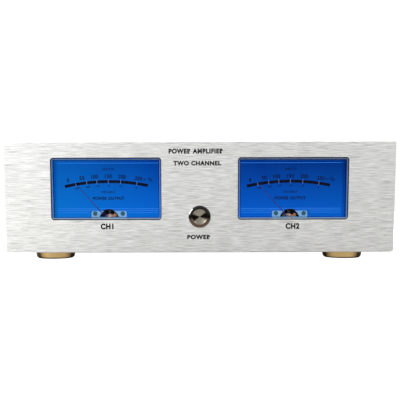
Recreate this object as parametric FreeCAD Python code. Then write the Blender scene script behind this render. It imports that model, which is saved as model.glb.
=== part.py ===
import FreeCAD, Part
import math
import os

Vector = FreeCAD.Vector

# Stereo power amplifier. Sizes in millimetres, +Z up, +X to the right seen from the front.
# The working Y is the depth behind the front panel's face; save() moves it to the row frame,
# whose origin is the bottom centre of the whole amplifier.

# Driving sizes
WIDTH = 320.0
PANEL_HEIGHT = 90.4
PANEL_THICK = 8.0
PANEL_LIFT = 9.0
CASE_DEPTH = 270.0
CAP_PROUD = 3.5
POST_REACH = 30.0
ORIGIN_SHIFT = Vector(0, CAP_PROUD - (CAP_PROUD + CASE_DEPTH + POST_REACH) / 2, 0)

# Chassis
CHASSIS_HALF = 158.0
PLATE_Z = 12.0
BOTTOM_THICK = 2.5
FLOOR_Z = PLATE_Z + BOTTOM_THICK
COVER_Z = 96.0
COVER_THICK = 3.0
REAR_THICK = 3.0
REAR_IN = CASE_DEPTH - REAR_THICK
SIDE_IN = 143.0
SIDE_WALL = 6.0
RIB_COUNT = 10
RIB_THICK = 2.4
EDGE_X = SIDE_IN + SIDE_WALL / 2
COVER_SCREW_Y = (20.0, 97.0, 177.0, 255.0)
BOTTOM_SCREW_Y = (25.0, 105.0, 175.0, 258.0)
REAR_SCREW_Z = (24.0, 84.0)

# Screws: M3 in 3.0 mm holes, drawn with a small clearance
M3 = 1.45
M3_HOLE = 1.5
M3_HEAD = 2.75
HEAD_HIGH = 2.0

# Front brackets
BRACKET_X = 133.2
BRACKET_THICK = 2.0
BRACKET_PANEL_Z = (28.0, 82.0)
BRACKET_SIDE_Z = (34.0, 76.0)
BRACKET_SIDE_Y = 18.0

# Feet
FOOT_X = 132.0
FOOT_Y = (59.0, 242.0)
FOOT_R = 18.0
PAD_R = 16.4
M4 = 1.95
M4_HOLE = 2.0

# Meters
METER_X = 76.65
METER_Z = PANEL_LIFT + 52.2
WINDOW = (90.0, 50.0)
WINDOW_R = 2.1
PIVOT_Z = PANEL_LIFT + 26.4
DIAL_Y = 15.0
NEEDLE_REST = -41.8
NEEDLE_LENGTH = 42.0
CRANK_R = 8.0
ARCH_R = 8.7
BRIDGE_TOP = 43.0
BRIDGE_SCREW_X = 11.7
BRIDGE_SCREW_Z = 40.9
CASE_BACK = 36.0
CLAMP_IN = 49.05
CLAMP_SCREW = 53.55

# Power switch, 16 mm push button
SWITCH_Z = PANEL_LIFT + 29.4
TERMINAL_GAP = 3.0
FLANGE_R = 9.0
BARREL_R = 7.95
CAP_R = 6.85
CAP_BORE = 6.95

# Transformer
TOROID_Y = 120.0
TOROID_R = 54.0
TOROID_HOLE = 17.0
TOROID_HIGH = 46.0
PAD_THICK = 2.0

# Boards
STANDOFF_HIGH = 6.0
BOARD_Z = FLOOR_Z + STANDOFF_HIGH
BOARD_THICK = 1.6
BOARD_TOP = BOARD_Z + BOARD_THICK
AMP_X = (65.5, 141.5)
AMP_Y = (75.0, 225.0)
PSU_X = 52.0
PSU_Y = (180.0, 236.0)
HOLE_INSET = 5.0
TRANSISTOR_Y = (100.0, 130.0, 160.0, 190.0)

# Rear connectors
INLET_Z = 56.0
SOCKET_Z = 62.5
PIN_TIP = 268.5
DRAWER_Z = 45.0
JACK_X = 58.0
JACK_Z = 62.0
JACK_R = 4.15
JACK_BORE = 1.6
POST_X = (92.0, 118.0)
POST_Z = 56.0
STUD_R = 3.9
BANANA_R = 2.0
RUN_GAP = 0.07


def box(x, y, z):
    """Box between pairs of limits on each axis."""
    return Part.makeBox(x[1] - x[0], y[1] - y[0], z[1] - z[0], Vector(x[0], y[0], z[0]))


def rod_x(radius, x, y, z):
    return Part.makeCylinder(radius, x[1] - x[0], Vector(x[0], y, z), Vector(1, 0, 0))


def rod_y(radius, x, y, z):
    return Part.makeCylinder(radius, y[1] - y[0], Vector(x, y[0], z), Vector(0, 1, 0))


def rod_z(radius, x, y, z):
    return Part.makeCylinder(radius, z[1] - z[0], Vector(x, y, z[0]), Vector(0, 0, 1))


def edges_along(shape, direction):
    """Straight edges of a shape that run along one axis."""
    found = []
    for edge in shape.Edges:
        if len(edge.Vertexes) == 2:
            run = edge.Vertexes[1].Point.sub(edge.Vertexes[0].Point)
            if run.Length > 0 and abs(run.normalize().dot(direction)) > 0.999:
                found.append(edge)
    return found


def round_block(cx, cz, size, y, radius):
    """Block with its four depth edges rounded, centred at cx, cz."""
    block = box((cx - size[0] / 2, cx + size[0] / 2), y, (cz - size[1] / 2, cz + size[1] / 2))
    return block.makeFillet(radius, edges_along(block, Vector(0, 1, 0)))


def hex_prism(flats, base, direction, height):
    """Hexagonal prism standing on base, with the given width across flats."""
    corner = flats / math.sqrt(3)
    points = []
    for i in range(7):
        angle = math.radians(60 * i)
        points.append(Vector(corner * math.cos(angle), corner * math.sin(angle), 0))
    prism = Part.Face(Part.makePolygon(points)).extrude(Vector(0, 0, height))
    prism.Placement = FreeCAD.Placement(base, FreeCAD.Rotation(Vector(0, 0, 1), direction))
    return prism


def slot_z(length, width, x, y, z):
    """Vertical cutter for a slot that runs along X with round ends."""
    half = length / 2 - width / 2
    middle = box((x - half, x + half), (y - width / 2, y + width / 2), z)
    ends = [rod_z(width / 2, x - half, y, z), rod_z(width / 2, x + half, y, z)]
    return middle.fuse(ends).removeSplitter()


def revolve_z(profile, x, y):
    """Solid of revolution from (radius, height) points about a vertical axis."""
    points = [Vector(r, 0, z) for r, z in profile]
    points.append(points[0])
    solid = Part.Face(Part.makePolygon(points)).revolve(Vector(0, 0, 0), Vector(0, 0, 1), 360)
    solid.translate(Vector(x, y, 0))
    return solid


def revolve_y(profile, x, z):
    """Solid of revolution from (radius, depth) points about an axis along Y."""
    points = [Vector(r, y, 0) for r, y in profile]
    points.append(points[0])
    solid = Part.Face(Part.makePolygon(points)).revolve(Vector(0, 0, 0), Vector(0, 1, 0), 360)
    solid.translate(Vector(x, 0, z))
    return solid


def save(node, solids):
    shape = Part.makeCompound(solids) if len(solids) > 1 else solids[0]
    shape = shape.translated(ORIGIN_SHIFT)
    shape.exportStep("parts/" + node + ".step")


def screw_up(x, y, z, length):
    """Pan head screw under a plate, shank pointing up from z."""
    head = rod_z(M3_HEAD, x, y, (z - HEAD_HIGH, z))
    head = head.makeChamfer(0.5, [head.Edges[i] for i in range(len(head.Edges)) if
                                  abs(head.Edges[i].CenterOfMass.z - (z - HEAD_HIGH)) < 0.01])
    return head.fuse(rod_z(M3, x, y, (z, z + length))).removeSplitter()


def screw_down(x, y, z, length):
    screw = screw_up(0, 0, 0, length)
    screw.rotate(Vector(0, 0, 0), Vector(1, 0, 0), 180)
    screw.translate(Vector(x, y, z))
    return screw


def screw_to_front(x, y, z, length):
    """Pan head screw driven from behind towards the front."""
    screw = screw_up(0, 0, 0, length)
    screw.rotate(Vector(0, 0, 0), Vector(1, 0, 0), 90)
    screw.translate(Vector(x, y, z))
    return screw


def screw_outwards(side, x, y, z, length):
    """Pan head screw driven from inside the case into a side panel."""
    screw = screw_up(0, 0, 0, length)
    screw.rotate(Vector(0, 0, 0), Vector(0, 1, 0), 90 * side)
    screw.translate(Vector(side * x, y, z))
    return screw


def make_front_panel():
    mid_z = PANEL_LIFT + PANEL_HEIGHT / 2
    panel = round_block(0, mid_z, (WIDTH, PANEL_HEIGHT), (0, PANEL_THICK), 2.0)
    rim = [e for e in panel.Edges if e.BoundBox.YMax < 0.01]
    panel = panel.makeChamfer(0.5, rim)
    cutters = [rod_y(FLANGE_R - 0.9, 0, (-1, PANEL_THICK + 1), SWITCH_Z)]
    for side in (-1, 1):
        window = round_block(side * METER_X, METER_Z, WINDOW, (-1, PANEL_THICK + 1), WINDOW_R)
        wider = (WINDOW[0] + 1.0, WINDOW[1] + 1.0)
        bevel = round_block(side * METER_X, METER_Z, wider, (-1, 0.5), WINDOW_R + 0.5)
        bottom = [e for e in bevel.Edges if e.BoundBox.YMin > 0.49]
        cutters.append(window)
        cutters.append(bevel.makeChamfer(0.49, bottom))
        for z in BRACKET_PANEL_Z:
            cutters.append(rod_y(M3_HOLE, side * (BRACKET_X + 4.8), (2.8, PANEL_THICK + 1), z))
        for offset in (-CLAMP_SCREW, CLAMP_SCREW):
            cutters.append(rod_y(M3_HOLE, side * METER_X + offset, (2.8, PANEL_THICK + 1), METER_Z))
    save("front_panel", [panel.cut(cutters)])


def make_side_panel(side, node):
    depth = (PANEL_THICK, REAR_IN)
    wall = box((SIDE_IN, SIDE_IN + SIDE_WALL), depth, (FLOOR_Z, COVER_Z))
    pitch = (COVER_Z - FLOOR_Z - RIB_THICK) / (RIB_COUNT - 1)
    ribs = []
    for i in range(RIB_COUNT):
        z = FLOOR_Z + i * pitch
        ribs.append(box((SIDE_IN + SIDE_WALL, CHASSIS_HALF), depth, (z, z + RIB_THICK)))
    body = wall.fuse(ribs).removeSplitter()
    cutters = []
    for y in COVER_SCREW_Y:
        cutters.append(rod_z(M3_HOLE, EDGE_X, y, (COVER_Z - 9, COVER_Z + 1)))
    for y in BOTTOM_SCREW_Y:
        cutters.append(rod_z(M3_HOLE, EDGE_X, y, (FLOOR_Z - 1, FLOOR_Z + 7)))
    for z in REAR_SCREW_Z:
        cutters.append(rod_y(M3_HOLE, EDGE_X, (REAR_IN - 9, REAR_IN + 1), z))
    for z in BRACKET_SIDE_Z:
        cutters.append(rod_x(M3_HOLE, (SIDE_IN - 1, SIDE_IN + 5), BRACKET_SIDE_Y, z))
    body = body.cut(cutters)
    if side < 0:
        body = body.mirror(Vector(0, 0, 0), Vector(1, 0, 0))
    save(node, [body])


def make_bottom_plate():
    plate = box((-CHASSIS_HALF, CHASSIS_HALF), (PANEL_THICK, REAR_IN), (PLATE_Z, FLOOR_Z))
    through = (PLATE_Z - 1, FLOOR_Z + 1)
    cutters = [rod_z(4.1, 0, TOROID_Y, through)]
    for side in (-1, 1):
        for y in BOTTOM_SCREW_Y:
            cutters.append(rod_z(M3_HOLE, side * EDGE_X, y, through))
        for y in FOOT_Y:
            cutters.append(rod_z(M4_HOLE, side * FOOT_X, y, through))
        for i in range(9):
            cutters.append(slot_z(44, 3.5, side * 103, 98 + i * 13, through))
    for x, y in standoff_places():
        cutters.append(rod_z(M3_HOLE, x, y, through))
    save("bottom_plate", [plate.cut(cutters)])


def make_top_cover():
    cover = box((-CHASSIS_HALF, CHASSIS_HALF), (PANEL_THICK, REAR_IN), (COVER_Z, COVER_Z + COVER_THICK))
    top = [e for e in edges_along(cover, Vector(0, 1, 0)) if e.BoundBox.ZMin > COVER_Z + 1]
    cover = cover.makeChamfer(0.6, top)
    through = (COVER_Z - 1, COVER_Z + COVER_THICK + 1)
    cutters = []
    for side in (-1, 1):
        for y in COVER_SCREW_Y:
            cutters.append(rod_z(M3_HOLE, side * EDGE_X, y, through))
            cutters.append(Part.makeCone(M3_HOLE, 3.1, 1.6, Vector(side * EDGE_X, y, COVER_Z + 1.4)))
        for i in range(12):
            cutters.append(slot_z(56, 4.0, side * 98, 92 + i * 11, through))
    for i in range(8):
        cutters.append(slot_z(56, 4.0, 0, 92 + i * 11, through))
    save("top_cover", [cover.cut(cutters)])
    screws = []
    for side in (-1, 1):
        for y in COVER_SCREW_Y:
            shank = rod_z(M3, side * EDGE_X, y, (COVER_Z - 7, COVER_Z + 1.5))
            head = Part.makeCone(M3, 3.0, 1.5, Vector(side * EDGE_X, y, COVER_Z + 1.45))
            socket = hex_prism(2.0, Vector(side * EDGE_X, y, COVER_Z + 1.8), Vector(0, 0, 1), 2.0)
            screws.append(head.fuse(shank).cut(socket).removeSplitter())
    save("cover_screws", screws)


def make_rear_panel():
    panel = box((-CHASSIS_HALF, CHASSIS_HALF), (REAR_IN, CASE_DEPTH), (PLATE_Z, COVER_Z + COVER_THICK))
    panel = panel.makeFillet(1.5, edges_along(panel, Vector(0, 1, 0)))
    through = (REAR_IN - 1, CASE_DEPTH + 1)
    cutters = [round_block(0, INLET_Z, (27.2, 38.2), through, 1.5)]
    for side in (-1, 1):
        cutters.append(rod_y(4.6, side * JACK_X, through, JACK_Z))
        for x in POST_X:
            cutters.append(rod_y(5.6, side * x, through, POST_Z))
        for z in REAR_SCREW_Z:
            cutters.append(rod_y(M3_HOLE, side * EDGE_X, through, z))
    save("rear_panel", [panel.cut(cutters)])


def make_brackets():
    brackets = []
    for side in (-1, 1):
        panel_leg = box((BRACKET_X, SIDE_IN), (PANEL_THICK, PANEL_THICK + BRACKET_THICK), (22, 88))
        side_leg = box((SIDE_IN - BRACKET_THICK, SIDE_IN), (PANEL_THICK, 26), (22, 88))
        bracket = panel_leg.fuse(side_leg).removeSplitter()
        cutters = []
        for z in BRACKET_PANEL_Z:
            cutters.append(rod_y(M3_HOLE + 0.1, BRACKET_X + 4.8, (PANEL_THICK - 1, PANEL_THICK + 3), z))
        for z in BRACKET_SIDE_Z:
            cutters.append(rod_x(M3_HOLE + 0.1, (SIDE_IN - 3, SIDE_IN + 1), BRACKET_SIDE_Y, z))
        bracket = bracket.cut(cutters)
        if side < 0:
            bracket = bracket.mirror(Vector(0, 0, 0), Vector(1, 0, 0))
        brackets.append(bracket)
    save("front_brackets", brackets)


def make_chassis_screws():
    """All the pan head M3 screws that hold the case together."""
    screws = []
    for side in (-1, 1):
        for y in BOTTOM_SCREW_Y:
            screws.append(screw_up(side * EDGE_X, y, PLATE_Z, 8))
        for z in REAR_SCREW_Z:
            screws.append(screw_to_front(side * EDGE_X, CASE_DEPTH, z, 10))
        for z in BRACKET_PANEL_Z:
            screws.append(screw_to_front(side * (BRACKET_X + 4.8), PANEL_THICK + BRACKET_THICK, z, 6))
        for z in BRACKET_SIDE_Z:
            screws.append(screw_outwards(side, SIDE_IN - BRACKET_THICK, BRACKET_SIDE_Y, z, 6))
        for offset in (-CLAMP_SCREW, CLAMP_SCREW):
            screws.append(screw_to_front(side * METER_X + offset, PANEL_THICK + 1.5, METER_Z, 6))
    save("chassis_screws", screws)


def foot_places():
    return [(side * FOOT_X, y) for side in (-1, 1) for y in FOOT_Y]


def make_feet():
    feet = []
    pads = []
    fixings = []
    for x, y in foot_places():
        profile = [(M4_HOLE, 4.5), (4.5, 4.5), (4.5, 1.5), (PAD_R + 0.1, 1.5), (PAD_R + 0.1, 1.0),
                   (16.9, 1.0), (17.1, 1.6), (FOOT_R, 6.0), (FOOT_R, 9.4), (17.2, 9.7), (17.2, 10.5),
                   (FOOT_R, 10.8), (FOOT_R, 11.5), (17.5, PLATE_Z), (M4_HOLE, PLATE_Z)]
        feet.append(revolve_z(profile, x, y))
        pads.append(revolve_z([(6.0, 0), (PAD_R - 0.8, 0), (PAD_R, 0.8), (PAD_R, 1.5), (6.0, 1.5)], x, y))
        head = rod_z(3.6, x, y, (2.0, 4.5))
        shank = rod_z(M4, x, y, (4.5, FLOOR_Z + 4.2))
        nut = hex_prism(7.0, Vector(x, y, FLOOR_Z), Vector(0, 0, 1), 3.2)
        fixings.append(head.fuse(shank).removeSplitter())
        fixings.append(nut.cut(rod_z(M4_HOLE, x, y, (10, 25))))
    save("feet", feet)
    save("foot_pads", pads)
    save("foot_screws", fixings)


def make_switch():
    profile = [(CAP_BORE, -1.7), (7.3, -2.0), (8.2, -2.0), (FLANGE_R, -1.2), (FLANGE_R, 0), (BARREL_R, 0),
               (BARREL_R, 19.0), (4.2, 19.0), (4.2, 7.5), (CAP_BORE, 7.5)]
    save("switch_body", [revolve_y(profile, 0, SWITCH_Z)])
    cap = [(0, -2.1), (3.0, -2.35), (5.2, -2.95), (6.1, -CAP_PROUD), (6.5, -CAP_PROUD), (CAP_R, -3.1),
           (CAP_R, 3.0), (4.1, 3.0), (4.1, 12.0), (0, 12.0)]
    save("switch_cap", [revolve_y(cap, 0, SWITCH_Z)])
    nut = hex_prism(19.0, Vector(0, PANEL_THICK, SWITCH_Z), Vector(0, 1, 0), 2.6)
    save("switch_nut", [nut.cut(rod_y(BARREL_R + 0.05, 0, (0, 20), SWITCH_Z))])
    base = rod_y(7.2, 0, (19.0, 31.0), SWITCH_Z).cut(rod_y(5.4, 0, (18.0, 27.0), SWITCH_Z))
    blades = []
    for x in (-3.4, 3.4):
        for dz in (-TERMINAL_GAP, TERMINAL_GAP):
            z = SWITCH_Z + dz
            blades.append(box((x - 0.25, x + 0.25), (31.0, 37.0), (z - 1.1, z + 1.1)))
    save("switch_base", [base])
    save("switch_terminals", blades)


def about_pivot(shape, centre_x, angle):
    """Turn a shape about the meter pivot, positive towards +X from upright."""
    turned = shape.copy()
    turned.rotate(Vector(centre_x, 0, PIVOT_Z), Vector(0, 1, 0), angle)
    return turned


def make_meter(cx, name):
    # Clear cover: a box that fills the window, with a flange behind the panel
    cover = round_block(cx, METER_Z, (89.4, 49.4), (1.0, 14.8), 1.8)
    flange = round_block(cx, METER_Z, (97.0, 57.0), (PANEL_THICK, 10.0), 2.0)
    hollow = round_block(cx, METER_Z, (85.8, 45.8), (2.6, 15.0), 0.8)
    save(name + "_lens", [cover.fuse(flange).cut(hollow).removeSplitter()])

    # Case: a tray with a lower bulge for the movement
    tray = round_block(cx, METER_Z, (97.0, 57.0), (10.0, CASE_BACK), 2.0)
    bulge = box((cx - 21, cx + 21), (11.0, CASE_BACK), (18.0, METER_Z))
    mouth = round_block(cx, METER_Z, (89.8, 49.8), (9.0, 15.9), 1.9)
    cavity = round_block(cx, METER_Z + 0.5, (84.0, 43.0), (9.5, 34.5), 1.0)
    lower = box((cx - 19, cx + 19), (15.9, 34.5), (20.0, METER_Z))
    boss = rod_y(2.2, cx, (33.9, 34.6), PIVOT_Z)
    seat = rod_y(0.5, cx, (33.0, 34.45), PIVOT_Z)
    case = tray.fuse(bulge).cut([mouth, cavity, lower]).fuse(boss).cut(seat).removeSplitter()
    save(name + "_case", [case])

    # Dial plate, cut out closely round the bridge and arched over the pointer's crank
    through = (DIAL_Y - 1, DIAL_Y + 2)
    dial = round_block(cx, METER_Z, (89.0, 49.0), (DIAL_Y, DIAL_Y + 0.8), 1.6)
    opening = box((cx - 15.2, cx + 15.2), through, (METER_Z - 30, BRIDGE_TOP + 0.1))
    save(name + "_dial", [dial.cut([opening, rod_y(ARCH_R + 0.6, cx, through, PIVOT_Z)])])

    # Magnet block with a round gap, soft iron core held by two webs, and posts for the bridge
    block = box((cx - 15, cx + 15), (21.0, 34.5), (22.5, PIVOT_Z + 9.8))
    gap = rod_y(8.5, cx, (20.0, 35.0), PIVOT_Z)
    core = rod_y(5.0, cx, (21.4, 31.6), PIVOT_Z)
    webs = box((cx - 1.2, cx + 1.2), (23.0, 30.0), (PIVOT_Z - 9, PIVOT_Z + 8.9))
    block = block.cut(gap).fuse([core, webs])
    holes = []
    for dx in (-BRIDGE_SCREW_X, BRIDGE_SCREW_X):
        block = block.fuse(rod_y(2.2, cx + dx, (18.1, 21.5), BRIDGE_SCREW_Z))
        holes.append(rod_y(1.25, cx + dx, (17.0, 25.0), BRIDGE_SCREW_Z))
    save(name + "_magnet", [block.cut(holes).removeSplitter()])

    # Bridge plate with its jewel screw and two fixing screws
    bridge = box((cx - 15, cx + 15), (16.6, 18.1), (24.0, BRIDGE_TOP))
    arch = rod_y(ARCH_R, cx, (16.0, 19.0), PIVOT_Z)
    arch = arch.common(box((cx - 9, cx + 9), (15, 20), (PIVOT_Z + 2.7, PIVOT_Z + 9)))
    cutters = [arch, rod_y(1.5, cx, (16.0, 19.0), PIVOT_Z)]
    jewel = rod_y(2.5, cx, (15.9, 16.6), PIVOT_Z).fuse(rod_y(1.45, cx, (16.6, 18.8), PIVOT_Z))
    jewel = jewel.cut([rod_y(0.5, cx, (18.2, 19.0), PIVOT_Z),
                       box((cx - 3, cx + 3), (15.8, 16.25), (PIVOT_Z - 0.3, PIVOT_Z + 0.3))])
    pieces = [jewel.removeSplitter()]
    for dx in (-BRIDGE_SCREW_X, BRIDGE_SCREW_X):
        cutters.append(rod_y(1.3, cx + dx, (16.0, 19.0), BRIDGE_SCREW_Z))
        head = rod_y(1.9, cx + dx, (15.85, 16.6), BRIDGE_SCREW_Z)
        pieces.append(head.fuse(rod_y(1.2, cx + dx, (16.6, 23.0), BRIDGE_SCREW_Z)))
    corners = [e for e in edges_along(bridge, Vector(0, 1, 0)) if e.BoundBox.ZMin > BRIDGE_TOP - 0.5]
    bridge = bridge.makeFillet(1.5, corners)
    pieces.insert(0, bridge.cut(cutters))
    save(name + "_bridge", pieces)

    # Moving coil on its two pivots, built upright and turned to the zero position
    frame = box((cx - 7.4, cx + 7.4), (19.7, 33.4), (PIVOT_Z - 1.2, PIVOT_Z + 1.2))
    frame = frame.cut(box((cx - 5.8, cx + 5.8), (20.8, 32.3), (PIVOT_Z - 2, PIVOT_Z + 2)))
    pivots = [rod_y(0.45, cx, (18.3, 19.8), PIVOT_Z), rod_y(0.45, cx, (33.3, 34.35), PIVOT_Z)]
    coil = frame.fuse(pivots).removeSplitter()
    save(name + "_coil", [about_pivot(coil, cx, NEEDLE_REST)])

    # Pointer: hub and arm behind the bridge, a crank through the notch, then the long blade
    hub = rod_y(1.5, cx, (19.0, 19.6), PIVOT_Z)
    arm = box((cx - 0.5, cx + 0.5), (19.1, 19.5), (PIVOT_Z - 6, PIVOT_Z + CRANK_R))
    weight = box((cx - 1.2, cx + 1.2), (19.0, 19.6), (PIVOT_Z - 7, PIVOT_Z - 5))
    root = PIVOT_Z + CRANK_R - 0.6
    tip = PIVOT_Z + NEEDLE_LENGTH
    crank = box((cx - 0.5, cx + 0.5), (12.9, 19.5), (root, PIVOT_Z + CRANK_R))
    corners = ((-0.38, root), (0.38, root), (0.22, tip), (-0.22, tip), (-0.38, root))
    outline = [Vector(cx + dx, 12.9, z) for dx, z in corners]
    blade = Part.Face(Part.makePolygon(outline)).extrude(Vector(0, 0.35, 0))
    needle = hub.fuse([arm, weight, crank, blade]).cut(rod_y(0.5, cx, (18, 20), PIVOT_Z))
    save(name + "_needle", [about_pivot(needle.removeSplitter(), cx, NEEDLE_REST)])


def make_meter_extras():
    boards = []
    clamps = []
    for side in (-1, 1):
        cx = side * METER_X
        board = box((cx - 34, cx + 34), (33.2, 34.4), (60, 70))
        lamps = []
        for i in range(-2, 3):
            lamp_x = cx + i * 13
            lamps.append(box((lamp_x - 1.75, lamp_x + 1.75), (32.0, 33.2), (63.2, 66.8)))
        boards.append(board.fuse(lamps).removeSplitter())
        low = METER_Z - 8
        high = METER_Z + 8
        strap = box((cx - CLAMP_IN - 1.5, cx + CLAMP_IN + 1.5), (CASE_BACK, CASE_BACK + 1.5), (low, high))
        for way in (-1, 1):
            inner = cx + way * CLAMP_IN
            outer = cx + way * (CLAMP_IN + 1.5)
            lip = cx + way * (CLAMP_IN + 7.2)
            leg = box(sorted((inner, outer)), (PANEL_THICK, CASE_BACK + 1.5), (low, high))
            foot = box(sorted((inner, lip)), (PANEL_THICK, PANEL_THICK + 1.5), (low, high))
            hole = rod_y(M3_HOLE + 0.1, cx + way * CLAMP_SCREW, (PANEL_THICK - 1, PANEL_THICK + 3), METER_Z)
            strap = strap.fuse([leg, foot]).cut(hole)
        clamps.append(strap.removeSplitter())
    save("meter_lamp_boards", boards)
    save("meter_clamps", clamps)


def make_transformer():
    low = FLOOR_Z + PAD_THICK
    high = low + TOROID_HIGH
    ring = rod_z(TOROID_R, 0, TOROID_Y, (low, high))
    ring = ring.cut(rod_z(TOROID_HOLE, 0, TOROID_Y, (low - 1, high + 1)))
    ring = ring.makeFillet(9.0, [e for e in ring.Edges if e.Length > 200])
    save("transformer", [ring.makeFillet(4.0, [e for e in ring.Edges if abs(e.Length - 106.81) < 0.1])])
    pads = []
    for z in ((FLOOR_Z, low), (high, high + PAD_THICK)):
        middle = rod_z(9, 0, TOROID_Y, (z[0] - 1, z[1] + 1))
        pads.append(rod_z(44, 0, TOROID_Y, z).cut(middle))
    save("transformer_pads", pads)
    top = high + PAD_THICK
    plate = rod_z(44, 0, TOROID_Y, (top, top + 2)).cut(rod_z(4.1, 0, TOROID_Y, (top - 1, top + 3)))
    rim = [e for e in plate.Edges if e.CenterOfMass.z > top + 1.9 and e.Length > 200]
    save("transformer_plate", [plate.makeChamfer(0.8, rim)])
    head = hex_prism(13.0, Vector(0, TOROID_Y, PLATE_Z - 5.3), Vector(0, 0, 1), 5.3)
    bolt = head.fuse(rod_z(4.0, 0, TOROID_Y, (PLATE_Z - 1, top + 12))).removeSplitter()
    nut = hex_prism(13.0, Vector(0, TOROID_Y, top + 2), Vector(0, 0, 1), 6.5)
    nut = nut.cut(rod_z(4.05, 0, TOROID_Y, (top, top + 10)))
    save("transformer_bolt", [bolt, nut])


def standoff_places():
    places = []
    for side in (-1, 1):
        for y in (AMP_Y[0] + HOLE_INSET, AMP_Y[1] - HOLE_INSET):
            places.append((side * (AMP_X[0] + HOLE_INSET), y))
            places.append((side * (AMP_X[1] - HOLE_INSET), y))
        for y in (PSU_Y[0] + HOLE_INSET, PSU_Y[1] - HOLE_INSET):
            places.append((side * (PSU_X - HOLE_INSET), y))
    return places


def make_boards():
    depth = (BOARD_Z, BOARD_TOP)
    holes = [rod_z(M3_HOLE + 0.1, x, y, (BOARD_Z - 1, BOARD_TOP + 1)) for x, y in standoff_places()]
    right = box(AMP_X, AMP_Y, depth)
    left = box((-AMP_X[1], -AMP_X[0]), AMP_Y, depth)
    save("amp_board_right", [right.cut(holes)])
    save("amp_board_left", [left.cut(holes)])
    save("psu_board", [box((-PSU_X, PSU_X), PSU_Y, depth).cut(holes)])
    standoffs = []
    screws = []
    for x, y in standoff_places():
        pillar = hex_prism(5.5, Vector(x, y, FLOOR_Z), Vector(0, 0, 1), STANDOFF_HIGH)
        standoffs.append(pillar.cut(rod_z(M3_HOLE, x, y, (FLOOR_Z - 1, BOARD_Z + 1))))
        screws.append(screw_up(x, y, PLATE_Z, 5))
        screws.append(screw_down(x, y, BOARD_TOP, 4))
    save("standoffs", standoffs)
    save("board_screws", screws)


def make_power_transistors():
    devices = []
    for side in (-1, 1):
        for y in TRANSISTOR_Y:
            body = box((138.0, SIDE_IN), (y - 7.8, y + 7.8), (27, 47))
            body = body.cut(rod_x(1.6, (137, 144), y, 43.5))
            legs = []
            for leg_y in (y - 5.45, y, y + 5.45):
                legs.append(box((140.0, 140.6), (leg_y - 0.6, leg_y + 0.6), (BOARD_TOP, 27.5)))
            device = body.fuse(legs).removeSplitter()
            if side < 0:
                device = device.mirror(Vector(0, 0, 0), Vector(1, 0, 0))
            devices.append(device)
    save("power_transistors", devices)


def make_components():
    capacitors = []
    for x in (-15.0, 15.0):
        for y in (194.5, 221.5):
            can = rod_z(12.5, x, y, (BOARD_TOP, BOARD_TOP + 40))
            can = can.makeFillet(0.8, [e for e in can.Edges if e.CenterOfMass.z > 60])
            groove = rod_z(14, x, y, (BOARD_TOP + 3.5, BOARD_TOP + 4.5))
            capacitors.append(can.cut(groove.cut(rod_z(12.0, x, y, (BOARD_TOP, 40)))))
    save("psu_capacitors", capacitors)

    parts = [box((34, 39), (198, 218), (BOARD_TOP, BOARD_TOP + 18))]
    for side in (-1, 1):
        relay = box((92, 120), (208, 221), (BOARD_TOP, BOARD_TOP + 16))
        relay = relay.makeFillet(0.8, edges_along(relay, Vector(0, 0, 1)))
        pieces = [relay]
        for y in TRANSISTOR_Y:
            pieces.append(box((122, 127), (y - 7, y + 7), (BOARD_TOP + 0.5, BOARD_TOP + 6)))
            pieces.append(box((106, 109), (y - 4, y + 4), (BOARD_TOP, BOARD_TOP + 13)))
        for y in (92.0, 108.0, 124.0, 176.0, 192.0):
            pieces.append(rod_z(5.0, 78, y, (BOARD_TOP, BOARD_TOP + 16)))
        pieces.append(box((72, 82), (138, 160), (BOARD_TOP, BOARD_TOP + 9)))
        for piece in pieces:
            if side < 0:
                piece = piece.mirror(Vector(0, 0, 0), Vector(1, 0, 0))
            parts.append(piece)
    save("board_components", parts)


def make_inlet():
    flange = round_block(0, INLET_Z, (31.0, 44.0), (CASE_DEPTH, CASE_DEPTH + 3), 2.0)
    body = round_block(0, INLET_Z, (27.0, 38.0), (244.0, CASE_DEPTH), 1.5)
    hollow = box((-12.3, 12.3), (256.0, CASE_DEPTH + 4), (SOCKET_Z - 8.3, SOCKET_Z + 8.3))
    upper = [e for e in edges_along(hollow, Vector(0, 1, 0)) if e.BoundBox.ZMin > SOCKET_Z]
    hollow = hollow.makeChamfer(4.0, upper)
    bay = box((-11.9, 11.9), (250.0, CASE_DEPTH + 4), (DRAWER_Z - 4.1, DRAWER_Z + 4.1))
    inlet = flange.fuse(body).cut([hollow, bay]).removeSplitter()
    pieces = [inlet]
    for x, dz in ((-7.0, -2.0), (7.0, -2.0), (0.0, 2.0)):
        z = SOCKET_Z + dz
        pin = box((x - 1.0, x + 1.0), (256.0, PIN_TIP), (z - 2.0, z + 2.0))
        tab = box((x - 0.4, x + 0.4), (236.0, 244.0), (z - 2.4, z + 2.4))
        pieces.append(pin.makeChamfer(0.6, [e for e in pin.Edges if e.BoundBox.YMin > PIN_TIP - 0.1]))
        pieces.append(tab)
    save("mains_inlet", pieces)
    # The drawer carries one 5 x 20 mm fuse across the inlet
    tray = box((-11.83, 11.83), (251.5, CASE_DEPTH + 3.0), (DRAWER_Z - 4.03, DRAWER_Z + 4.03))
    lip = box((-11.83, 11.83), (CASE_DEPTH + 3.0, CASE_DEPTH + 4.5), (DRAWER_Z - 4.03, DRAWER_Z + 4.03))
    pocket = box((-10.6, 10.6), (253.5, 260.0), (DRAWER_Z - 2.9, DRAWER_Z + 5))
    grip = rod_x(1.6, (-4, 4), CASE_DEPTH + 4.5, DRAWER_Z - 2.4)
    save("fuse_drawer", [tray.fuse(lip).cut([pocket, grip]).removeSplitter()])
    save("fuse", [rod_x(2.6, (-10.0, 10.0), 256.7, DRAWER_Z)])


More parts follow.
